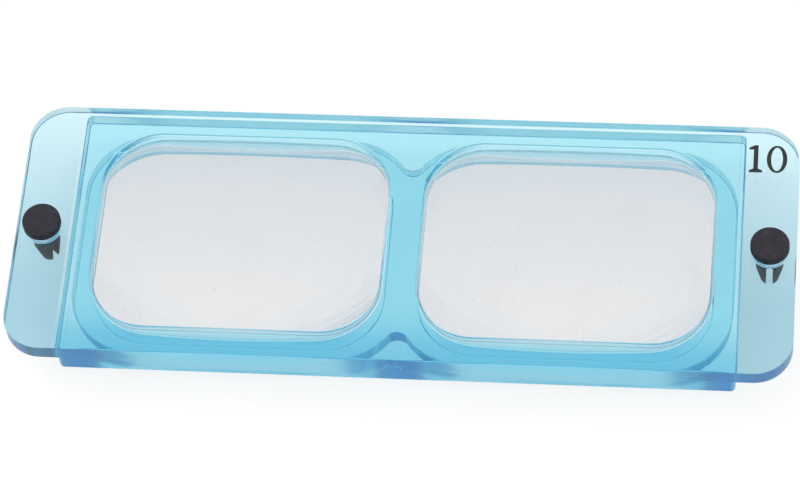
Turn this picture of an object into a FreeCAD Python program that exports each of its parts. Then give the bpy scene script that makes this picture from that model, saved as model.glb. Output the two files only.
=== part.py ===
"""Lens plate of a head-worn binocular magnifier.

One tinted clear moulding carries two rounded-rectangle glass lenses. A thin tab at each end
has a hole with a black split pin through it, and the pins fasten the plate to the wearer's
visor. The plate is interchangeable, and its power in dioptres is printed on one tab.

Frame: X runs along the plate, Y across it, Z up through the lenses. The origin is at the
middle of the plate, in the plane of the rims' lower faces, on which the plate lies.
Millimetres throughout.
"""
import FreeCAD, Part
import math
import os

from FreeCAD import Vector

# Plate
PLATE_LENGTH = 128.0
PLATE_WIDTH = 46.2
PLATE_CORNER_R = 6.35
TAB_THICKNESS = 3.3
CARRIER_LENGTH = 110.0
CARRIER_WIDTH = 45.1
CARRIER_DEPTH = 7.4
CARRIER_CORNER_R = 0.8
EDGE_ROUND = 0.3

# Rim round each lens, below the carrier
RIM_DEPTH = 10.6
RIM_LENGTH = 54.4
RIM_WIDTH = 41.2
RIM_CORNER_R = 11.0
RIM_WEB_R = 2.2

# Lens windows
LENS_SPACING = 53.6
WINDOW_LENGTH = 48.0
WINDOW_WIDTH = 36.4
WINDOW_CORNER_R = 9.8
WINDOW_BEVEL = 0.25

# Lenses: gently convex above, strongly convex below
LENS_GAP = 0.25
LENS_SINK = 0.2
LENS_CENTRE_THICKNESS = 9.4
LENS_POWER = 10.0
LENS_LOWER_R = 65.0
GLASS_INDEX = 1.523
LENS_BEVEL = 0.15

# Cement that fills the gap round each lens, between the heights that the edge has all the way round
CEMENT_SINK = 1.5
CEMENT_HEIGHT = 1.3

# Split pins
PIN_SPACING = 119.4
PIN_NECK_R = 2.45
PIN_HOLE_CLEARANCE = 0.05
PIN_SHANK_R = 2.25
PIN_SHANK_LENGTH = 3.0
PIN_HEAD_R = 3.175
PIN_HEAD_THICKNESS = 1.7
PIN_HEAD_TOP_ROUND = 0.45
PIN_HEAD_LOWER_ROUND = 0.2
PIN_TIP_R = 1.5
PIN_TIP_ROUND = 0.3
PIN_FOOT_GAP = 0.1
PIN_SLOT_WIDTH = 1.1
PIN_SLOT_ROOT = 1.2
PIN_TURN = {"left": 49.0, "right": 0.0}

# Moulding gate on the near wall
GATE_R = 1.5
GATE_DEPTH = 0.4
GATE_DROP = 3.4

# Printed power, two figures
INK_THICKNESS = 0.05
FIGURE_HEIGHT = 5.2
FIGURE_BASE_Y = 14.3
ONE_CENTRE_X = 56.85
ONE_FOOT_LENGTH = 2.2
ONE_STEM_WIDTH = 0.75
ONE_FLAG_LENGTH = 0.75
ONE_FLAG_DROP = 0.5
ZERO_CENTRE_X = 60.3
ZERO_LENGTH = 3.35
HEAVY_STROKE = 0.72
FINE_STROKE = 0.36

TOP_Z = RIM_DEPTH
TAB_UNDER_Z = TOP_Z - TAB_THICKNESS
CARRIER_UNDER_Z = TOP_Z - CARRIER_DEPTH
SIDES = {"left": -1.0, "right": 1.0}


def rounded_rectangle(length, width, radius, centre_x=0.0):
    """Face of a rounded rectangle in the XY plane, centred on Y."""
    half_x = length / 2.0
    half_y = width / 2.0
    diagonal = radius * math.sqrt(0.5)
    edges = []
    corners = [(1, 1), (-1, 1), (-1, -1), (1, -1)]
    arcs = []
    for sx, sy in corners:
        cx = centre_x + sx * (half_x - radius)
        cy = sy * (half_y - radius)
        on_side = Vector(cx + sx * radius, cy, 0)
        on_end = Vector(cx, cy + sy * radius, 0)
        middle = Vector(cx + sx * diagonal, cy + sy * diagonal, 0)
        first, last = (on_side, on_end) if sx * sy > 0 else (on_end, on_side)
        arcs.append((first, middle, last))
    for index, (first, middle, last) in enumerate(arcs):
        edges.append(Part.Arc(first, middle, last).toShape())
        following = arcs[(index + 1) % len(arcs)][0]
        edges.append(Part.LineSegment(last, following).toShape())
    return Part.Face(Part.Wire(edges))


def prism(face, z_low, z_high):
    """Solid that stands on z_low and reaches z_high."""
    lifted = face.translated(Vector(0, 0, z_low))
    return lifted.extrude(Vector(0, 0, z_high - z_low))


def edges_at(shape, z, keep):
    """Edges of the shape that lie in the plane z and whose middle point passes the test."""
    found = []
    for edge in shape.Edges:
        box = edge.BoundBox
        flat = abs(box.ZMin - z) < 1e-4 and abs(box.ZMax - z) < 1e-4
        if flat and keep(edge.valueAt((edge.FirstParameter + edge.LastParameter) / 2.0)):
            found.append(edge)
    return found


def lens_centre_x(side):
    return SIDES[side] * LENS_SPACING / 2.0


def pin_centre_x(side):
    return SIDES[side] * PIN_SPACING / 2.0


def rims():
    """The two deep rims, and the webs that fill the notches where they meet."""
    solids = []
    for side in SIDES:
        outline = rounded_rectangle(RIM_LENGTH, RIM_WIDTH, RIM_CORNER_R, lens_centre_x(side))
        solids.append(prism(outline, 0.0, CARRIER_UNDER_Z + 1.0))
    corner_x = LENS_SPACING / 2.0 - (RIM_LENGTH / 2.0 - RIM_CORNER_R)
    corner_y = RIM_WIDTH / 2.0 - RIM_CORNER_R
    reach = RIM_CORNER_R + RIM_WEB_R
    rise = math.sqrt(reach ** 2 - corner_x ** 2)
    touch_x = corner_x * (1.0 - RIM_CORNER_R / reach)
    touch_y = corner_y + rise * RIM_CORNER_R / reach
    web = Part.makeBox(2 * touch_x, 2 * touch_y, CARRIER_UNDER_Z + 1.0, Vector(-touch_x, -touch_y, 0))
    for end in (-1, 1):
        notch_centre = Vector(0, end * (corner_y + rise), -1.0)
        web = web.cut(Part.makeCylinder(RIM_WEB_R, CARRIER_UNDER_Z + 3.0, notch_centre))
    solids.append(web)
    return solids


def gate_recess():
    """Half-moon where the moulding's runner was cut off the near wall."""
    wall_y = -PLATE_WIDTH / 2.0
    centre = Vector(0, wall_y - 1.0, TOP_Z - GATE_DROP)
    disc = Part.makeCylinder(GATE_R, 1.0 + GATE_DEPTH, centre, Vector(0, 1, 0))
    keep = Part.makeBox(4 * GATE_R, 4.0, 2 * GATE_R, centre + Vector(-2 * GATE_R, -1.0, 0))
    return disc.common(keep)


def lens_plate():
    """The tinted moulding: tabs, carrier and rims in one piece."""
    tabs = prism(rounded_rectangle(PLATE_LENGTH, PLATE_WIDTH, PLATE_CORNER_R), TAB_UNDER_Z, TOP_Z)
    carrier_face = rounded_rectangle(CARRIER_LENGTH, CARRIER_WIDTH, CARRIER_CORNER_R)
    carrier = prism(carrier_face, CARRIER_UNDER_Z, TAB_UNDER_Z + 1.0)
    plate = tabs.fuse([carrier] + rims()).removeSplitter()
    plate = plate.makeFillet(EDGE_ROUND, edges_at(plate, TOP_Z, lambda point: True))
    for side in SIDES:
        window = rounded_rectangle(WINDOW_LENGTH, WINDOW_WIDTH, WINDOW_CORNER_R, lens_centre_x(side))
        plate = plate.cut(prism(window, -1.0, TOP_Z + 1.0))
        hole_r = PIN_NECK_R + PIN_HOLE_CLEARANCE
        hole_base = Vector(pin_centre_x(side), 0, TAB_UNDER_Z - 1.0)
        plate = plate.cut(Part.makeCylinder(hole_r, TAB_THICKNESS + 2.0, hole_base))
    inside = CARRIER_LENGTH / 2.0
    window_edges = edges_at(plate, TOP_Z, lambda point: abs(point.x) < inside and abs(point.y) < inside
                            and abs(point.y) <= WINDOW_WIDTH / 2.0 + 1e-3)
    plate = plate.makeChamfer(WINDOW_BEVEL, window_edges)
    return plate.cut(gate_recess())


def lens_upper_radius():
    """Radius of the upper face that gives the power together with the lower face."""
    return 1.0 / (LENS_POWER / 1000.0 / (GLASS_INDEX - 1.0) - 1.0 / LENS_LOWER_R)


def lens(side):
    """Convex on both faces, ground to fit its window, with its upper corner taken off."""
    outline = rounded_rectangle(WINDOW_LENGTH - 2 * LENS_GAP, WINDOW_WIDTH - 2 * LENS_GAP,
                                WINDOW_CORNER_R - LENS_GAP, lens_centre_x(side))
    top = TOP_Z - LENS_SINK
    bottom = top - LENS_CENTRE_THICKNESS
    upper_r = lens_upper_radius()
    ground = prism(outline, bottom - 1.0, top + 1.0)
    for radius, centre_z in ((LENS_LOWER_R, bottom + LENS_LOWER_R), (upper_r, top - upper_r)):
        centre = Vector(lens_centre_x(side), 0, centre_z)
        ground = ground.common(Part.makeSphere(radius, centre, Vector(0, 0, 1), -90, 90, 360))
    boxes = [(edge, edge.BoundBox) for edge in ground.Edges]
    rim = [edge for edge, box in boxes if top - 1.4 < box.ZMin and box.ZMax < top - 0.2]
    return ground.makeChamfer(LENS_BEVEL, rim)


def cement(side):
    """Thin bead between the lens's ground edge and the window's wall."""
    outer = rounded_rectangle(WINDOW_LENGTH, WINDOW_WIDTH, WINDOW_CORNER_R, lens_centre_x(side))
    inner = rounded_rectangle(WINDOW_LENGTH - 2 * LENS_GAP, WINDOW_WIDTH - 2 * LENS_GAP,
                              WINDOW_CORNER_R - LENS_GAP, lens_centre_x(side))
    top = TOP_Z - LENS_SINK - CEMENT_SINK
    return prism(outer.cut(inner), top - CEMENT_HEIGHT, top)


def pin_profile():
    """Half section of a pin about its own axis: head, neck in the tab, straight shank, taper."""
    head_top = TOP_Z + PIN_HEAD_THICKNESS
    head_flat_r = PIN_HEAD_R - PIN_HEAD_TOP_ROUND
    soft = 1.0 - math.sqrt(0.5)
    low = PIN_HEAD_LOWER_ROUND
    foot = PIN_FOOT_GAP
    points = {
        "axis_top": Vector(0, 0, head_top),
        "flat_end": Vector(head_flat_r, 0, head_top),
        "top_round": Vector(PIN_HEAD_R - soft * PIN_HEAD_TOP_ROUND, 0, head_top - soft * PIN_HEAD_TOP_ROUND),
        "side_top": Vector(PIN_HEAD_R, 0, head_top - PIN_HEAD_TOP_ROUND),
        "side_low": Vector(PIN_HEAD_R, 0, TOP_Z + low),
        "low_round": Vector(PIN_HEAD_R - soft * low, 0, TOP_Z + soft * low),
        "under_end": Vector(PIN_HEAD_R - low, 0, TOP_Z),
        "neck_top": Vector(PIN_NECK_R, 0, TOP_Z),
        "neck_end": Vector(PIN_NECK_R, 0, TAB_UNDER_Z),
        "shank_top": Vector(PIN_SHANK_R, 0, TAB_UNDER_Z),
        "shank_end": Vector(PIN_SHANK_R, 0, TAB_UNDER_Z - PIN_SHANK_LENGTH),
        "tip_side": Vector(PIN_TIP_R, 0, foot + PIN_TIP_ROUND),
        "tip_end": Vector(PIN_TIP_R - PIN_TIP_ROUND, 0, foot),
        "axis_foot": Vector(0, 0, foot),
    }
    line = Part.LineSegment
    edges = [
        line(points["axis_top"], points["flat_end"]),
        Part.Arc(points["flat_end"], points["top_round"], points["side_top"]),
        line(points["side_top"], points["side_low"]),
        Part.Arc(points["side_low"], points["low_round"], points["under_end"]),
        line(points["under_end"], points["neck_top"]),
        line(points["neck_top"], points["neck_end"]),
        line(points["neck_end"], points["shank_top"]),
        line(points["shank_top"], points["shank_end"]),
        line(points["shank_end"], points["tip_side"]),
        line(points["tip_side"], points["tip_end"]),
        line(points["tip_end"], points["axis_foot"]),
        line(points["axis_foot"], points["axis_top"]),
    ]
    return Part.Face(Part.Wire([edge.toShape() for edge in edges]))


def pin(side):
    """Round head and a shank that a slot parts into two prongs."""
    turned = pin_profile().revolve(Vector(0, 0, 0), Vector(0, 0, 1), 360)
    half_slot = PIN_SLOT_WIDTH / 2.0
    root_z = TOP_Z - PIN_SLOT_ROOT - half_slot
    across = 4 * PIN_SHANK_R
    slot = Part.makeBox(PIN_SLOT_WIDTH, across, root_z + 1.0, Vector(-half_slot, -across / 2.0, -1.0))
    root_start = Vector(0, -across / 2.0, root_z)
    slot = slot.fuse(Part.makeCylinder(half_slot, across, root_start, Vector(0, 1, 0)))
    split = turned.cut(slot)
    split.rotate(Vector(0, 0, 0), Vector(0, 0, 1), PIN_TURN[side])
    split.translate(Vector(pin_centre_x(side), 0, 0))
    return split


def figure_one():
    """Stem, sloping flag and a flat foot."""
    base = FIGURE_BASE_Y
    top = base + FIGURE_HEIGHT
    left = ONE_CENTRE_X - ONE_STEM_WIDTH / 2.0
    right = ONE_CENTRE_X + ONE_STEM_WIDTH / 2.0
    flag_x = left - ONE_FLAG_LENGTH
    foot_left = ONE_CENTRE_X - ONE_FOOT_LENGTH / 2.0
    foot_right = ONE_CENTRE_X + ONE_FOOT_LENGTH / 2.0
    outline = [
        (foot_left, base), (foot_right, base), (foot_right, base + FINE_STROKE),
        (right, base + 2 * FINE_STROKE), (right, top), (left + FINE_STROKE / 2.0, top),
        (flag_x, top - ONE_FLAG_DROP), (flag_x, top - ONE_FLAG_DROP - FINE_STROKE),
        (left, top - 1.6 * ONE_FLAG_DROP), (left, base + 2 * FINE_STROKE),
        (foot_left, base + FINE_STROKE), (foot_left, base),
    ]
    return Part.Face(Part.makePolygon([Vector(x, y, 0) for x, y in outline]))


def oval(length, height):
    """Upright ellipse centred on the nought."""
    centre = Vector(ZERO_CENTRE_X, FIGURE_BASE_Y + FIGURE_HEIGHT / 2.0, 0)
    curve = Part.Ellipse(centre + Vector(0, height / 2.0, 0), centre + Vector(length / 2.0, 0, 0), centre)
    return Part.Face(Part.Wire(curve.toShape()))


def power_mark():
    """The figures 1 and 0 in ink, on top of the right tab."""
    outer = oval(ZERO_LENGTH, FIGURE_HEIGHT)
    inner = oval(ZERO_LENGTH - 2 * HEAVY_STROKE, FIGURE_HEIGHT - 2 * FINE_STROKE)
    nought = outer.cut(inner)
    one = figure_one()
    solids = [prism(face, TOP_Z, TOP_Z + INK_THICKNESS) for face in (one, nought)]
    return Part.makeCompound(solids)


def write(name, shape):
    """Check the solids and write them to parts/name.step."""
    solids = shape.Solids
    if not shape.isValid() or not solids:
        raise ValueError(name + " is not a valid solid")
    shape.exportStep(os.path.join("parts", name + ".step"))
    volume = sum(solid.Volume for solid in solids)
    print("%-14s %d solid(s), %.1f mm3" % (name, len(solids), volume))


def main():
    os.makedirs("parts", exist_ok=True)
    write("lens_plate", lens_plate())
    for side in SIDES:
        write("lens_" + side, lens(side))
        write("cement_" + side, cement(side))
        write("pin_" + side, pin(side))
    write("power_mark", power_mark())


main()
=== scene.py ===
# %% [markdown]
# # A magnifier's lens plate
# This object is a spare part that a watchmaker or dentist would know: the plate that clips to the
# front of a magnifying visor. One clear blue moulding holds two glass lenses, and a black split
# pin through each end fastens it. Nearly everything is transparent, so the lesson is about solids
# that light goes through: each piece has to be a closed body with clean, slightly rounded edges,
# and the colour has to come mostly from the depth of the plastic and not from its surface.

# %% Load the frame
import math

import bmesh
import bpy
from mathutils import Matrix, Vector


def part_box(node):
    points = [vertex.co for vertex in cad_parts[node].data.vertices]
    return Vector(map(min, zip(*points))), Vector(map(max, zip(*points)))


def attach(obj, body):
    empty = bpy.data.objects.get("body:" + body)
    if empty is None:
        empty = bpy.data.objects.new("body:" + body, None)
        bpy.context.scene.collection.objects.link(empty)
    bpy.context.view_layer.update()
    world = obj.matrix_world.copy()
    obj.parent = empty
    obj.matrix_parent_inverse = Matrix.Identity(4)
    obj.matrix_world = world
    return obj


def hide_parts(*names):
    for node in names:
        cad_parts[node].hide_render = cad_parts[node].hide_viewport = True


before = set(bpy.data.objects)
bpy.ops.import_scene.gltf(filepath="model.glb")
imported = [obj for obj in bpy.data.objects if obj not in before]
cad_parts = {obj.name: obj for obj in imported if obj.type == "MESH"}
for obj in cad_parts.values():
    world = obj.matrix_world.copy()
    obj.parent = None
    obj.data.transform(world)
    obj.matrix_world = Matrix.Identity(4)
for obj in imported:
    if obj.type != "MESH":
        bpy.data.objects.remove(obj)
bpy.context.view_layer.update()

MM = 0.001
SIDES = {"left": -1.0, "right": 1.0}

# %% [markdown]
# ## Sizes
# The frame says how big everything is. The plate's box gives its length, width and the height of
# its top face, and each lens and pin gives its own place. The few sizes below that a box can't
# show, such as a corner's radius, are the drawing's own.

# %% Sizes from the frame
plate_low, plate_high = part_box("lens_plate")
TOP = plate_high.z
TAB_DEPTH = 3.3 * MM
CARRIER_DEPTH = 7.4 * MM
TAB_UNDER = TOP - TAB_DEPTH
CARRIER_UNDER = TOP - CARRIER_DEPTH
PLATE_CORNER = 6.35 * MM
CARRIER_LENGTH = 110.0 * MM
CARRIER_WIDTH = 45.1 * MM
CARRIER_CORNER = 0.8 * MM
RIM_LENGTH = 54.4 * MM
RIM_WIDTH = 41.2 * MM
RIM_CORNER = 11.0 * MM
RIM_WEB = 2.2 * MM
WINDOW_CORNER = 9.8 * MM
LENS_GAP = 0.25 * MM
EDGE_ROUND = 0.25 * MM

lens_box = {side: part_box("lens_" + side) for side in SIDES}
bead_box = {side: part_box("cement_" + side) for side in SIDES}
pin_box = {side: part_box("pin_" + side) for side in SIDES}
print("top face at %.2f mm, lens centres %.2f mm apart" % (
    TOP / MM, (sum(lens_box["right"], Vector()) - sum(lens_box["left"], Vector())).x / 2 / MM))


def middle(box):
    """Centre of a box, in plan."""
    centre = (box[0] + box[1]) / 2
    return Vector((centre.x, centre.y, 0))


def span(box):
    """Length, width and height of a box."""
    return box[1] - box[0]


# %% [markdown]
# ## A pen for outlines
# Every outline here is straight runs joined by true arcs. It could be a list of points, but a pen
# that goes forward and turns says what the shape is and stays exact when a radius changes. The
# pen is one vertex: going forward extrudes it, and turning spins it about the arc's centre.

# %% A pen that draws with bmesh operators
ARC_STEP = math.radians(3.0)


class Pen:
    """Draws a flat outline in the XY plane with forward moves and turns."""

    def __init__(self, start, heading):
        self.bm = bmesh.new()
        self.tip = bmesh.ops.create_vert(self.bm, co=start)["vert"][0]
        self.heading = math.radians(heading)

    def forward(self, length):
        step = Vector((math.cos(self.heading), math.sin(self.heading), 0)) * length
        self.tip = bmesh.ops.extrude_vert_indiv(self.bm, verts=[self.tip])["verts"][0]
        bmesh.ops.translate(self.bm, verts=[self.tip], vec=step)
        return self

    def turn(self, radius, degrees):
        """Left for positive degrees, right for negative. A radius of 0 is a sharp corner."""
        angle = math.radians(degrees)
        if radius == 0:
            self.heading += angle
            return self
        side = math.copysign(1.0, angle)
        to_centre = self.heading + side * math.pi / 2
        centre = self.tip.co + Vector((math.cos(to_centre), math.sin(to_centre), 0)) * radius
        steps = max(2, math.ceil(abs(angle) / ARC_STEP))
        spun = bmesh.ops.spin(self.bm, geom=[self.tip], cent=centre, axis=(0, 0, 1), dvec=(0, 0, 0),
                              angle=angle, steps=steps, use_duplicate=False)
        self.tip = [v for v in spun["geom_last"] if isinstance(v, bmesh.types.BMVert)][0]
        self.heading += angle
        return self

    def path(self):
        """The line as it was drawn, with no face."""
        bmesh.ops.remove_doubles(self.bm, verts=self.bm.verts, dist=0.001 * MM)
        return self.bm

    def close(self):
        """Joins the outline's ends and fills it. Returns the bmesh with one face."""
        bmesh.ops.contextual_create(self.path(), geom=self.bm.edges)
        bmesh.ops.recalc_face_normals(self.bm, faces=self.bm.faces)
        return self.bm


def rounded_rectangle(length, width, radius, centre, steps=1):
    """A filled rounded rectangle in the XY plane, with its straight runs cut into steps."""
    pen = Pen(centre + Vector((radius - length / 2, -width / 2, 0)), 0)
    for run in (length, width, length, width):
        for _ in range(steps):
            pen.forward((run - 2 * radius) / steps)
        pen.turn(radius, 90)
    return pen.close()


test = rounded_rectangle(4 * MM, 2 * MM, 0.5 * MM, Vector())
print("a rounded rectangle has", len(test.verts), "points and", len(test.faces), "face")
test.free()

# %% [markdown]
# ## From outline to solid
# An outline becomes a solid by extruding it, and solids are added to and cut from each other as a
# toolmaker would cut a mould. Blender's Boolean modifier does that. It is applied at once, so the
# tools that did the cutting don't stay in the file.

# %% Solids and how they combine
WELD = 0.004 * MM


def piece_from(bm, name):
    """An object with its place in its mesh."""
    mesh = bpy.data.meshes.new(name)
    bm.to_mesh(mesh)
    bm.free()
    made = bpy.data.objects.new(name, mesh)
    bpy.context.scene.collection.objects.link(made)
    return made


def extruded(bm, low, high, name):
    """A solid with the drawn outline, from height low to height high."""
    bmesh.ops.translate(bm, verts=bm.verts, vec=(0, 0, low))
    raised = bmesh.ops.extrude_face_region(bm, geom=bm.faces, use_keep_orig=True)
    lifted = [v for v in raised["geom"] if isinstance(v, bmesh.types.BMVert)]
    bmesh.ops.translate(bm, verts=lifted, vec=(0, 0, high - low))
    bmesh.ops.recalc_face_normals(bm, faces=bm.faces)
    return piece_from(bm, name)


def cylinder(radius, start, end, name):
    """A round solid between two points."""
    bm = bmesh.new()
    axis = end - start
    turned = axis.to_track_quat("Z", "Y").to_matrix().to_4x4()
    place = Matrix.Translation((start + end) / 2) @ turned
    bmesh.ops.create_cone(bm, cap_ends=True, segments=96, radius1=radius, radius2=radius,
                          depth=axis.length, matrix=place)
    return piece_from(bm, name)


def combine(base, tool, operation):
    """Adds a tool to a solid, cuts it away or keeps what they share, and throws the tool away."""
    modifier = base.modifiers.new(operation.lower(), "BOOLEAN")
    modifier.operation = operation
    modifier.solver = "EXACT"
    modifier.object = tool
    graph = bpy.context.evaluated_depsgraph_get()
    result = bpy.data.meshes.new_from_object(base.evaluated_get(graph), depsgraph=graph)
    base.modifiers.clear()
    bm = bmesh.new()
    bm.from_mesh(result)
    bmesh.ops.remove_doubles(bm, verts=bm.verts, dist=WELD)
    bmesh.ops.dissolve_degenerate(bm, edges=bm.edges, dist=WELD)
    bm.to_mesh(result)
    bm.free()
    base.data = result
    bpy.data.objects.remove(tool)
    return base


def soften(piece, width, segments=3, angle=40.0):
    """Rounds every edge sharper than the angle."""
    rounding = piece.modifiers.new("rounded edges", "BEVEL")
    rounding.width = width
    rounding.segments = segments
    rounding.limit_method = "ANGLE"
    rounding.angle_limit = math.radians(angle)
    rounding.use_clamp_overlap = False
    rounding.material = -1
    rounding.profile = 0.5
    return piece


def settle(piece):
    """Makes the modifiers' result the piece's own mesh, so that its faces can be marked."""
    graph = bpy.context.evaluated_depsgraph_get()
    result = bpy.data.meshes.new_from_object(piece.evaluated_get(graph), depsgraph=graph)
    piece.modifiers.clear()
    piece.data = result
    return piece


def mark(piece, name, is_marked):
    """Gives every face an attribute, 1 where the test holds, that a finish can read."""
    attribute = piece.data.attributes.new(name, "FLOAT", "FACE")
    for face, value in zip(piece.data.polygons, attribute.data):
        value.value = float(is_marked(face))
    print(piece.name, name, "faces:", sum(v.value > 0 for v in attribute.data))
    return piece


def shade(piece, crease=40.0):
    """Smooth shading that keeps flat faces flat: on clear solids a false slope bends the light."""
    piece.data.shade_smooth()
    piece.data.set_sharp_from_angle(angle=math.radians(crease))
    weighting = piece.modifiers.new("flat faces stay flat", "WEIGHTED_NORMAL")
    weighting.keep_sharp = True
    weighting.weight = 100
    return piece


# %% [markdown]
# ## The moulding
# The real plate is one shot of acrylic. From above it is a flat slab with round corners. Below,
# its middle is more than twice as deep, and round each lens stands a deeper rim. It could be carved
# from one block, but adding three slabs and then cutting the windows follows the mould: each slab
# is one depth of plastic, which is one depth of colour. Each slab dips a little into the one above
# it, so that the union has no faces that only touch.

# %% The rims' outline
def rim_outline():
    """Both rims as one outline, with a small radius in the notches where they meet."""
    centre_x = span((middle(lens_box["left"]), middle(lens_box["right"]))).x / 2
    corner_x = centre_x - (RIM_LENGTH / 2 - RIM_CORNER)
    reach = RIM_CORNER + RIM_WEB
    sweep = 90 - math.degrees(math.acos(corner_x / reach))
    far_x = centre_x + RIM_LENGTH / 2 - RIM_CORNER
    pen = Pen(Vector((corner_x, -RIM_WIDTH / 2, 0)), 0)
    for _ in range(2):
        pen.forward(far_x - corner_x).turn(RIM_CORNER, 90)
        pen.forward(RIM_WIDTH - 2 * RIM_CORNER).turn(RIM_CORNER, 90)
        pen.forward(far_x - corner_x)
        pen.turn(RIM_CORNER, sweep).turn(RIM_WEB, -2 * sweep).turn(RIM_CORNER, sweep)
    return pen.close()


# %% The moulding's solids
OVERLAP = 1 * MM
size = span((plate_low, plate_high))
moulding = extruded(rounded_rectangle(size.x, size.y, PLATE_CORNER, Vector()), TAB_UNDER, TOP,
                    "lens_plate_moulding")
carrier_outline = rounded_rectangle(CARRIER_LENGTH, CARRIER_WIDTH, CARRIER_CORNER, Vector())
carrier = extruded(carrier_outline, CARRIER_UNDER, TAB_UNDER + OVERLAP, "carrier")
combine(moulding, carrier, "UNION")
combine(moulding, extruded(rim_outline(), plate_low.z, CARRIER_UNDER + OVERLAP, "rims"), "UNION")
print("slab, carrier and rims:", len(moulding.data.polygons), "faces")

# %% [markdown]
# The lens windows go right through all three depths. The pins' holes go through the tabs only. The
# half moon cut in the near wall is the gate, where the plastic was let into the mould and the
# sprue was trimmed off. Every moulded edge is a little round, because a mould can't be perfectly
# sharp, and on clear plastic that roundness is the bright line that shows where the edge is. Two
# marks on the faces are for the finish to read: window walls are bonded to glass, and the outer
# walls are less smooth than the flats.

# %% Windows, holes and gate
HOLE_RADIUS = 2.5 * MM
through = (plate_low.z - OVERLAP, TOP + OVERLAP)
bead_size = span(bead_box["left"])
for side in SIDES:
    outline = rounded_rectangle(bead_size.x, bead_size.y, WINDOW_CORNER, middle(lens_box[side]))
    combine(moulding, extruded(outline, *through, "window"), "DIFFERENCE")
    hole = middle(pin_box[side])
    ends = [hole + Vector((0, 0, height)) for height in through]
    combine(moulding, cylinder(HOLE_RADIUS, *ends, "hole"), "DIFFERENCE")

GATE_RADIUS = 1.5 * MM
GATE_DEPTH = 0.4 * MM
GATE_DROP = 3.4 * MM
gate_centre = Vector((0, plate_low.y, TOP - GATE_DROP))
outwards = Vector((0, -OVERLAP, 0))
gate = cylinder(GATE_RADIUS, gate_centre + outwards, gate_centre + Vector((0, GATE_DEPTH, 0)), "gate")
above = cylinder(3 * GATE_RADIUS, gate_centre + 2 * outwards, gate_centre - 2 * outwards, "above")
above.data.transform(Matrix.Translation((0, 0, 3 * GATE_RADIUS)))
combine(gate, above, "INTERSECT")
soften(moulding, EDGE_ROUND, segments=4)
combine(moulding, gate, "DIFFERENCE")

NEARLY = 0.05 * MM


def in_window(face):
    """Whether a face is on the wall of a lens window."""
    across = abs(abs(face.center.x) - middle(lens_box["right"]).x) < bead_size.x / 2 + NEARLY
    return across and abs(face.center.y) < bead_size.y / 2 + NEARLY and abs(face.normal.z) < 0.1


def on_wall(face):
    """Whether a face is upright and not in a window."""
    return abs(face.normal.z) < 0.3 and not in_window(face)


mark(moulding, "bonded", in_window)
mark(moulding, "wall", on_wall)
shade(moulding)
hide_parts("lens_plate")
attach(moulding, "plate")
print("moulding:", len(moulding.data.vertices), "points")

# %% [markdown]
# ## The lenses
# A lens is ground to the window's outline and has a true sphere on each face, gentle above and
# strong below. It could be cut from a spun blank with a Boolean, but that leaves slivers along the
# rim, and on glass every sliver shows. So it is built of rings instead: the outline is extruded
# inwards in place, smaller each time, and then every point is set at its own height on its sphere.
# The first ring is the narrow bevel that an optician grinds on, and it has the frosted finish.

# %% Lenses of concentric rings
GLASS_INDEX = 1.523
POWER = 10.0
LOWER_RADIUS = 65 * MM
UPPER_RADIUS = 1 / (POWER / (GLASS_INDEX - 1) - 1 / LOWER_RADIUS)
LENS_CORNER = WINDOW_CORNER - LENS_GAP
LENS_BEVEL = 0.15 * MM
RINGS = 48
STRAIGHT_STEPS = 32


def ring_sizes(width):
    """Each ring's size as a share of the outline: first the bevel, then even steps inwards."""
    bevel = 1 - 2 * LENS_BEVEL / width
    return [bevel] + [bevel * (1 - ring / RINGS) for ring in range(1, RINGS)]


def dome_height(point, low, high):
    """Height on the upper sphere for a point above the plane z = 0, else on the lower sphere."""
    spread = point.x ** 2 + point.y ** 2
    if point.z > 0:
        return high.z - UPPER_RADIUS + math.sqrt(UPPER_RADIUS ** 2 - spread)
    return low.z + LOWER_RADIUS - math.sqrt(LOWER_RADIUS ** 2 - spread)


def ground_lens(side):
    low, high = lens_box[side]
    size = high - low
    bm = rounded_rectangle(size.x, size.y, LENS_CORNER, Vector(), STRAIGHT_STEPS)
    raised = bmesh.ops.extrude_face_region(bm, geom=bm.faces[:], use_keep_orig=True)
    lifted = [v for v in raised["geom"] if isinstance(v, bmesh.types.BMVert)]
    bmesh.ops.translate(bm, verts=lifted, vec=(0, 0, 1 * MM))
    outline = set(bm.verts)
    for face in [f for f in bm.faces if len(f.verts) > 4]:
        last = 1.0
        for share in ring_sizes(size.y):
            inner = bmesh.ops.extrude_face_region(bm, geom=[face])["geom"]
            bmesh.ops.delete(bm, geom=[face], context="FACES_ONLY")
            face = [f for f in inner if isinstance(f, bmesh.types.BMFace)][0]
            bmesh.ops.scale(bm, vec=(share / last, share / last, 1), verts=face.verts[:])
            last = share
    for face in bm.faces:
        face.material_index = int(sum(v in outline for v in face.verts) == 2)
    bevelled = {v: math.copysign(LENS_BEVEL, v.co.z - MM / 2) for v in outline}
    for v in bm.verts:
        v.co.z = dome_height(v.co, low, high) - bevelled.get(v, 0)
    bmesh.ops.translate(bm, verts=bm.verts, vec=middle(lens_box[side]))
    bmesh.ops.recalc_face_normals(bm, faces=bm.faces)
    return piece_from(bm, "lens_%s_glass" % side)


lenses = {}
for side in SIDES:
    lens = ground_lens(side)
    lens.data.materials.append(None)
    lens.data.materials.append(None)
    shade(mark(lens, "bonded", lambda face: abs(face.normal.z) < 0.05), crease=20)
    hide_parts("lens_" + side)
    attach(lens, "plate")
    lenses[side] = lens
    print(side, "lens:", len(lens.data.polygons), "faces")

# %% [markdown]
# ## The cement
# A lens edged a quarter of a millimetre small is held by a bead of clear cement. In a render two
# transparent solids that share a face confuse the light, which doesn't know which one it is in. So
# the bead is a little thinner than its gap. In the real joint light crosses with hardly a bend,
# because glass, cement and acrylic are nearly as dense to light as each other, so the faces that
# meet are marked as bonded and their finish lets light straight through.

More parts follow.
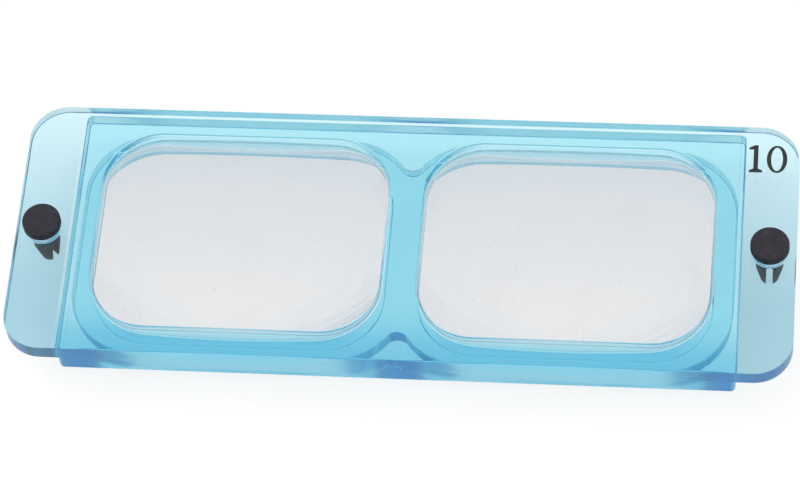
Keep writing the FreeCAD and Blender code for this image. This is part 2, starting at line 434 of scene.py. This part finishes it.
# %% A bead round each lens
BEAD_AIR = 0.03 * MM
for side in SIDES:
    low, high = bead_box[side]
    bm = rounded_rectangle(high.x - low.x - 2 * BEAD_AIR, high.y - low.y - 2 * BEAD_AIR,
                           WINDOW_CORNER - BEAD_AIR, middle(bead_box[side]))
    bmesh.ops.translate(bm, verts=bm.verts, vec=(0, 0, low.z))
    bmesh.ops.inset_region(bm, faces=bm.faces, thickness=LENS_GAP - 2 * BEAD_AIR, depth=0,
                           use_boundary=True, use_even_offset=True)
    inside = [f for f in bm.faces if len(f.verts) > 4]
    bmesh.ops.delete(bm, geom=inside, context="FACES")
    raised = bmesh.ops.extrude_face_region(bm, geom=bm.faces, use_keep_orig=True)
    lifted = [v for v in raised["geom"] if isinstance(v, bmesh.types.BMVert)]
    bmesh.ops.translate(bm, verts=lifted, vec=(0, 0, high.z - low.z))
    bmesh.ops.recalc_face_normals(bm, faces=bm.faces)
    bead = piece_from(bm, "cement_%s_bead" % side)
    settle(soften(bead, 0.05 * MM, segments=2))
    shade(mark(bead, "bonded", lambda face: abs(face.normal.z) < 0.2))
    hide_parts("cement_" + side)
    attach(bead, "plate")
    print(side, "bead:", len(bead.data.polygons), "faces")

# %% [markdown]
# ## The split pins
# Each pin is one black moulding: a round head, a neck that turns in the tab, a straight shank and
# a taper, all split by a slot into two prongs. It is a turned shape, so it is drawn as a half
# section and spun, and the slot is sawn afterwards, as it would be on a lathe. The left pin sits
# turned in its hole, and its box can't say so, so the angle is given here.

# %% Turn, slot and place a pin
PIN_TURN = {"left": 49.0, "right": 0.0}
HEAD_RADIUS = 3.175 * MM
HEAD_TOP_ROUND = 0.45 * MM
HEAD_LOW_ROUND = 0.2 * MM
NECK_RADIUS = 2.45 * MM
SHANK_RADIUS = 2.25 * MM
SHANK_LENGTH = 3.0 * MM
TIP_RADIUS = 1.5 * MM
TIP_ROUND = 0.3 * MM
SLOT_WIDTH = 1.1 * MM
SLOT_ROOT = 1.2 * MM
HEAD_AIR = 0.03 * MM


def turned_pin(name, foot, head_top):
    """A pin spun from its half section, on the Z axis. The section is drawn from the tip up."""
    straight_end = TAB_UNDER - SHANK_LENGTH
    taper = Vector((SHANK_RADIUS - TIP_RADIUS, straight_end - foot - TIP_ROUND))
    lean = math.degrees(math.atan2(taper.x, taper.y))
    pen = Pen(Vector((0, foot, 0)), 0)
    pen.forward(TIP_RADIUS - TIP_ROUND).turn(TIP_ROUND, 90 - lean)
    pen.forward((SHANK_RADIUS - pen.tip.co.x) / math.sin(math.radians(lean))).turn(0, lean)
    pen.forward(TAB_UNDER - pen.tip.co.y).turn(0, -90)
    pen.forward(NECK_RADIUS - SHANK_RADIUS).turn(0, 90).forward(TOP + HEAD_AIR - TAB_UNDER).turn(0, -90)
    pen.forward(HEAD_RADIUS - HEAD_LOW_ROUND - NECK_RADIUS).turn(HEAD_LOW_ROUND, 90)
    pen.forward(head_top - TOP - HEAD_AIR - HEAD_LOW_ROUND - HEAD_TOP_ROUND).turn(HEAD_TOP_ROUND, 90)
    pen.forward(pen.tip.co.x)
    bm = pen.path()
    bmesh.ops.rotate(bm, verts=bm.verts, cent=(0, 0, 0), matrix=Matrix.Rotation(math.pi / 2, 3, "X"))
    bmesh.ops.spin(bm, geom=bm.edges[:], cent=(0, 0, 0), axis=(0, 0, 1), dvec=(0, 0, 0),
                   angle=math.tau, steps=96, use_merge=True, use_duplicate=False)
    bmesh.ops.remove_doubles(bm, verts=bm.verts, dist=0.001 * MM)
    bmesh.ops.recalc_face_normals(bm, faces=bm.faces)
    return piece_from(bm, name)


def slot_tool(foot):
    """A saw cut with a round root."""
    root = TOP - SLOT_ROOT - SLOT_WIDTH / 2
    reach = Vector((0, 2 * HEAD_RADIUS, 0))
    tool = cylinder(SLOT_WIDTH / 2, Vector((0, 0, root)) - reach, Vector((0, 0, root)) + reach, "slot")
    bm = bmesh.new()
    low = foot - 1 * MM
    place = Matrix.Translation((0, 0, (root + low) / 2))
    size = Matrix.Diagonal((SLOT_WIDTH, 2 * reach.y, root - low, 1))
    bmesh.ops.create_cube(bm, size=1, matrix=place @ size)
    return combine(tool, piece_from(bm, "saw"), "UNION")


pins = {}
for side in SIDES:
    low, high = pin_box[side]
    pin = turned_pin("pin_%s_moulding" % side, low.z, high.z)
    combine(pin, slot_tool(low.z), "DIFFERENCE")
    turn = Matrix.Rotation(math.radians(PIN_TURN[side]), 4, "Z")
    pin.data.transform(Matrix.Translation(middle(pin_box[side])) @ turn)
    shade(soften(pin, 0.12 * MM, segments=3, angle=55))
    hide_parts("pin_" + side)
    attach(pin, "pin_" + side)
    pins[side] = pin
    print(side, "pin:", len(pin.data.polygons), "faces")

# %% [markdown]
# ## The printed power
# The two figures are pad printed: a film of ink a few hundredths of a millimetre thick. The frame
# already has it as a thin solid of the right outline, so a copy is enough, merged and lifted by a
# hair so that its lower face and the plate's top face don't fight.

# %% Lift a copy of the ink
ink = bpy.data.objects.new("power_figures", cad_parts["power_mark"].data.copy())
bpy.context.scene.collection.objects.link(ink)
bm = bmesh.new()
bm.from_mesh(ink.data)
bmesh.ops.remove_doubles(bm, verts=bm.verts, dist=0.001 * MM)
bmesh.ops.dissolve_limit(bm, angle_limit=math.radians(1), verts=bm.verts, edges=bm.edges)
bmesh.ops.translate(bm, verts=bm.verts, vec=(0, 0, 0.01 * MM))
bm.to_mesh(ink.data)
bm.free()
ink.data.materials.clear()
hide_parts("power_mark")
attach(ink, "plate")
print("ink:", len(ink.data.polygons), "faces")

# %% [markdown]
# ## Finishes
# A shader's sums read best as sums. The class below wraps an output socket so that `1 - dust * 0.3`
# adds the Math nodes by itself, and a finish has one method that adds any other node.

# %% Sums that build nodes
class Wire:
    """An output socket that can be added, multiplied and so on."""

    def __init__(self, finish, socket):
        self.finish = finish
        self.socket = socket

    def sum(self, operation, *values):
        inputs = dict(enumerate(values))
        return self.finish.node("ShaderNodeMath", {"operation": operation}, inputs)

    def __add__(self, other):
        return self.sum("ADD", self, other)

    def __sub__(self, other):
        return self.sum("SUBTRACT", self, other)

    def __rsub__(self, other):
        return self.sum("SUBTRACT", other, self)

    def __mul__(self, other):
        return self.sum("MULTIPLY", self, other)

    def __pow__(self, other):
        return self.sum("POWER", self, other)

    __radd__ = __add__
    __rmul__ = __mul__

    def clamped(self, low, high):
        """Rises from 0 to 1 as the value goes from low to high."""
        inputs = {"Value": self, "From Min": low, "From Max": high}
        return self.finish.node("ShaderNodeMapRange", {"clamp": True}, inputs)


class Finish:
    """A material, its Principled shader and the nodes that feed it."""

    def __init__(self, name, **shader_values):
        self.material = bpy.data.materials.new(name)
        self.material.use_nodes = True
        self.tree = self.material.node_tree
        self.shader = self.tree.nodes["Principled BSDF"]
        self.output = self.tree.nodes["Material Output"]
        self.set(**shader_values)

    def set(self, **values):
        """Sets or links the shader's sockets: roughness=0.4 or base_color=(r, g, b, 1)."""
        for name, value in values.items():
            self.connect(self.shader.inputs[name.replace("_", " ").title().replace("Ior", "IOR")], value)

    def connect(self, socket, value):
        if isinstance(value, Wire):
            self.tree.links.new(value.socket, socket)
        else:
            socket.default_value = value

    def node(self, kind, settings=None, inputs=None, output=0):
        """Adds a node: its settings first, then its inputs by name or number."""
        made = self.tree.nodes.new(kind)
        for name, value in (settings or {}).items():
            if name == "stops":
                for index, (position, colour) in enumerate(value):
                    stops = made.color_ramp.elements
                    stop = stops[index] if index < len(stops) else stops.new(position)
                    stop.position = position
                    stop.color = colour
            else:
                setattr(made, name, value)
        for key, value in (inputs or {}).items():
            self.connect(made.inputs[key], value)
        return Wire(self, made.outputs[output])

    def axis(self, name):
        """X, Y or Z of the piece's own coordinates, in metres."""
        where = self.node("ShaderNodeTexCoord", output="Object")
        return self.node("ShaderNodeSeparateXYZ", inputs={"Vector": where}, output=name)

    def place(self, stretch=(1, 1, 1), turn=(0, 0, 0)):
        """The piece's own coordinates in millimetres, stretched or turned."""
        where = self.node("ShaderNodeTexCoord", output="Object")
        scale = tuple(s / MM for s in stretch)
        return self.node("ShaderNodeMapping", inputs={"Vector": where, "Rotation": turn, "Scale": scale})

    def noise(self, scale, detail=3.0, roughness=0.5, where=None):
        """Soft noise; scale is in blotches per millimetre."""
        inputs = {"Vector": where or self.place(), "Scale": scale, "Detail": detail, "Roughness": roughness}
        return self.node("ShaderNodeTexNoise", inputs=inputs, output="Fac")

    def specks(self, scale, size, where=None):
        """Small round spots: 1 inside a spot and 0 outside."""
        inputs = {"Vector": where or self.place(), "Scale": scale}
        distance = self.node("ShaderNodeTexVoronoi", inputs=inputs, output="Distance")
        return 1 - distance.clamped(size * 0.6, size)

    def marked(self, name):
        """The value that mark() gave to the faces."""
        return self.node("ShaderNodeAttribute", {"attribute_name": name}, output="Fac")

    def bump(self, height, distance, strength=1.0):
        inputs = {"Height": height, "Distance": distance, "Strength": strength}
        return self.node("ShaderNodeBump", inputs=inputs, output="Normal")

    def blend(self, factor, first, second):
        """Mixes two colours."""
        inputs = {"Factor": factor, 6: first, 7: second}
        return self.node("ShaderNodeMix", {"data_type": "RGBA"}, inputs, output=2)


# %% [markdown]
# ### Tinted acrylic
# The plate's colour is in its depth: a thin tab is pale and a deep rim is strong, though it is all
# one plastic. So the surface is clear and the tint is a volume that absorbs red most, some green
# and hardly any blue. The surface has what a handled plate has: a faint ripple from the flow of
# the plastic, fine wiping scratches and a few specks of dust that are a little rougher. The outer
# walls are duller than the flats, as a mould's side walls are less polished.
#
# Depth alone leaves two places too pale: the tabs, and the plastic along the near wall, where light
# that bounces inside the plate comes out. Tracing that would need a room to reflect, so a little
# tint on the surface stands in for it, worked out from where on the plate a point lies.

# %% Acrylic
ABSORBED_RED = 100.0
ABSORBED_GREEN = 22.0
ABSORBED_BLUE = 7.0


def absolute(wire):
    return wire.sum("ABSOLUTE", wire)


def within_ball(finish, across, y, z, height, radius):
    """1 inside a ball whose centre is at a height on a lens's axis."""
    up = z - height
    distance = (across * across + y * y + up * up) ** 0.5
    return 1 - distance.sum("GREATER_THAN", distance, radius)


def beside_glass(finish):
    """1 inside both balls of a lens's domes, which is as high and as deep as its glass goes."""
    x, y, z = (finish.axis(name) for name in "XYZ")
    low, high = lens_box["right"]
    across = absolute(x) - middle(lens_box["right"]).x
    lower = within_ball(finish, across, y, z, low.z + LOWER_RADIUS, LOWER_RADIUS)
    upper = within_ball(finish, across, y, z, high.z - UPPER_RADIUS, UPPER_RADIUS)
    return lower * upper


def tinted_acrylic():
    finish = Finish("tinted acrylic", transmission_weight=1.0, ior=1.49)
    wiped = finish.noise(0.9, where=finish.place((0.15, 3.0, 1.0), (0, 0, 0.35)))
    # These blotches vary the roughness where the plate is handled, and also vary the painted shade on the
    # tabs.
    handling_wear_and_shade = finish.noise(0.12, detail=4)
    dust = finish.specks(1.1, 0.07)
    rough = 0.015 + 0.05 * wiped.clamped(0.45, 0.8) + 0.05 * handling_wear_and_shade.clamped(0.5, 0.75) + 0.2 * dust
    rough = rough + 0.3 * finish.marked("wall")
    flow = finish.noise(0.16, detail=1, where=finish.place((1.0, 0.5, 1.0)))
    finish.set(roughness=rough, normal=finish.bump(flow, 0.02 * MM, 0.6))
    x, y = finish.axis("X"), finish.axis("Y")
    # Painted shade: over the tabs, deepest towards the near end, and along the near wall the surface tint
    # is deeper and greyer. It stands in for shade and tinted light that depth alone doesn't give.
    on_tab = absolute(x).clamped(CARRIER_LENGTH / 2, CARRIER_LENGTH / 2 + 0.3 * MM)
    painted_tab_shade = on_tab * y.clamped(24 * MM, -10 * MM) * (0.9 + 0.2 * handling_wear_and_shade)
    painted_near_wall_shade = (1 - on_tab) * y.clamped(-13 * MM, -20 * MM)
    tint_and_painted_shade = finish.blend(painted_near_wall_shade, (0.985, 0.995, 1.0, 1), (0.44, 0.76, 0.89, 1))
    tint_and_painted_shade = finish.blend(painted_tab_shade, tint_and_painted_shade, (0.56, 0.71, 0.78, 1))
    finish.set(base_color=finish.blend(dust, tint_and_painted_shade, (0.6, 0.65, 0.7, 1)))
    finish.set(alpha=1 - finish.marked("bonded") * beside_glass(finish))
    tint = (0.0, 1 - ABSORBED_GREEN / ABSORBED_RED, 1 - ABSORBED_BLUE / ABSORBED_RED, 1)
    depth = finish.node("ShaderNodeVolumeAbsorption", inputs={"Color": tint, "Density": ABSORBED_RED})
    finish.tree.links.new(depth.socket, finish.output.inputs["Volume"])
    return finish.material


# %% [markdown]
# ### Glass and cement
# The lens faces are polished, apart from faint finger smudges and a few specks of dust. The glass is
# painted a little grey as painted shade, and cooler over the far half as a painted reflection of the
# surround. The bevel is ground, which makes it frosty. The cement is clear but full of tiny bubbles,
# so it looks hazy.

# %% Glass, ground glass and cement
def polished_glass():
    finish = Finish("polished glass", transmission_weight=1.0, ior=GLASS_INDEX)
    smudge = finish.noise(0.09, detail=5, roughness=0.6).clamped(0.55, 0.8)
    dust = finish.specks(0.45, 0.09)
    finish.set(roughness=0.004 + 0.05 * smudge + 0.2 * dust)
    # Painted shade and reflection: grey glass, turning cooler and darker towards the far half.
    painted_far_reflection = finish.axis("Y").clamped(-12 * MM, 18 * MM)
    clear = finish.blend(painted_far_reflection, (0.9, 0.9, 0.91, 1), (0.74, 0.79, 0.83, 1))
    finish.set(base_color=finish.blend(dust * 0.8 + smudge * 0.25, clear, (0.68, 0.68, 0.7, 1)))
    finish.set(alpha=1 - finish.marked("bonded"))
    return finish.material


def ground_glass():
    finish = Finish("ground glass edge", transmission_weight=1.0, ior=GLASS_INDEX)
    grit = finish.noise(9.0, detail=2)
    finish.set(roughness=0.35 + 0.25 * grit, base_color=finish.blend(
        grit, (0.93, 0.96, 0.98, 1), (0.99, 1.0, 1.0, 1)))
    finish.set(normal=finish.bump(grit, 0.01 * MM))
    return finish.material


def hazy_cement():
    finish = Finish("hazy cement", transmission_weight=0.75, ior=1.5)
    bubbles = finish.specks(3.0, 0.3)
    finish.set(alpha=1 - finish.marked("bonded"))
    finish.set(roughness=0.3 + 0.3 * bubbles, base_color=finish.blend(
        bubbles, (0.9, 0.96, 0.99, 1), (1.0, 1.0, 1.0, 1)))
    return finish.material


# %% [markdown]
# ### Black nylon and ink
# The pins are black nylon out of a fine matte mould: a soft sheen, a grain too small to see as
# bumps, and faint scuffs on the head where a thumb pushes. The ink is blacker, smoother and a
# little thin in places, as pad print is.

# %% Nylon and ink
def black_nylon():
    finish = Finish("black nylon", ior=1.46, specular_ior_level=0.25)
    grain = finish.noise(7.0, detail=3)
    scuff = finish.noise(0.8, detail=5, roughness=0.65).clamped(0.5, 0.75)
    finish.set(base_color=finish.blend(scuff * 0.6 + grain * 0.2, (0.018, 0.018, 0.024, 1),
                                       (0.045, 0.044, 0.058, 1)))
    finish.set(roughness=0.48 + 0.2 * grain - 0.08 * scuff, normal=finish.bump(grain, 0.012 * MM))
    return finish.material


def black_ink():
    finish = Finish("black ink", ior=1.5)
    thin = finish.noise(2.2, detail=4).clamped(0.55, 0.8)
    finish.set(base_color=finish.blend(thin, (0.006, 0.008, 0.012, 1), (0.03, 0.04, 0.05, 1)))
    finish.set(roughness=0.35 + 0.2 * thin)
    return finish.material


# %% Give each piece its finish
def dress(piece, *materials):
    while len(piece.data.materials) < len(materials):
        piece.data.materials.append(None)
    for index, material in enumerate(materials):
        piece.data.materials[index] = material


dress(moulding, tinted_acrylic())
glass = polished_glass()
ground = ground_glass()
for lens in lenses.values():
    dress(lens, glass, ground)
cement = hazy_cement()
for side in SIDES:
    dress(bpy.data.objects["cement_%s_bead" % side], cement)
nylon = black_nylon()
for pin in pins.values():
    dress(pin, nylon)
dress(ink, black_ink())
print("finishes:", sorted(m.name for m in bpy.data.materials))

# %% [markdown]
# ## Floor, light and camera
# Clear things are lit by what is behind them. A pale floor that glows like a light table and an even
# white surround give the plate something bright to show through every part of it, and two large
# soft lamps add the sheen on the pins. The lamps stay out of reflections, because a bright square
# in each lens would hide the glass. Light needs many bounces to find its way out of clear solids.
# The camera is a long lens from above and a little to the right, so the plate's long sides stay
# almost parallel.

# %% Floor and light
FLOOR_GAP = 0.1 * MM
bm = bmesh.new()
bmesh.ops.create_grid(bm, x_segments=1, y_segments=1, size=3.0)
bmesh.ops.translate(bm, verts=bm.verts, vec=(0, 0, plate_low.z - FLOOR_GAP))
floor = piece_from(bm, "floor")
pale = Finish("light table", base_color=(0.2, 0.2, 0.2, 1), roughness=0.9, ior=1.2)
pale.set(emission_color=(1, 1, 1, 1), emission_strength=0.8)
dress(floor, pale.material)

world = bpy.data.worlds.new("white surround")
world.use_nodes = True
world.node_tree.nodes["Background"].inputs["Color"].default_value = (1, 1, 1, 1)
world.node_tree.nodes["Background"].inputs["Strength"].default_value = 0.95
bpy.context.scene.world = world


def soft_lamp(name, place, power, side):
    """A square lamp that faces the plate."""
    lamp = bpy.data.lights.new(name, "AREA")
    lamp.energy = power
    lamp.size = side
    made = bpy.data.objects.new(name, lamp)
    made.location = place
    made.visible_glossy = False
    made.visible_transmission = False
    made.rotation_euler = (-Vector(place)).to_track_quat("-Z", "Y").to_euler()
    bpy.context.scene.collection.objects.link(made)
    return made


soft_lamp("soft lamp left", (-0.6, 0.3, 0.8), 4, 0.6)
soft_lamp("soft lamp right", (0.7, -0.4, 0.9), 2, 0.6)

# %% Camera
CAMERA_AZIMUTH = math.radians(11.76)
CAMERA_ELEVATION = math.radians(59.15)
CAMERA_DISTANCE = 627.2 * MM
CAMERA_ROLL = math.radians(-8.35)
AIM = Vector((-0.2 * MM, -2.6 * MM, TOP))
SENSOR = 36.0
FOCAL = 173.0

camera = bpy.data.objects.new("camera", bpy.data.cameras.new("camera"))
bpy.context.scene.collection.objects.link(camera)
flat = math.cos(CAMERA_ELEVATION)
towards = Vector((math.sin(CAMERA_AZIMUTH) * flat, -math.cos(CAMERA_AZIMUTH) * flat,
                  math.sin(CAMERA_ELEVATION)))
camera.location = Vector((0, 0, TOP)) + towards * CAMERA_DISTANCE
facing = (AIM - camera.location).to_track_quat("-Z", "Y").to_matrix().to_4x4()
tilt = facing @ Matrix.Rotation(CAMERA_ROLL, 4, "Z")
camera.rotation_euler = tilt.to_euler()
camera.data.sensor_width = SENSOR
camera.data.lens = FOCAL
camera.data.clip_start = 0.01
camera.data.clip_end = 100
bpy.context.scene.camera = camera
bpy.context.scene.view_settings.view_transform = "Standard"
BOUNCES = 64
for kind in ("max_bounces", "glossy_bounces", "transmission_bounces", "transparent_max_bounces"):
    setattr(bpy.context.scene.cycles, kind, BOUNCES)
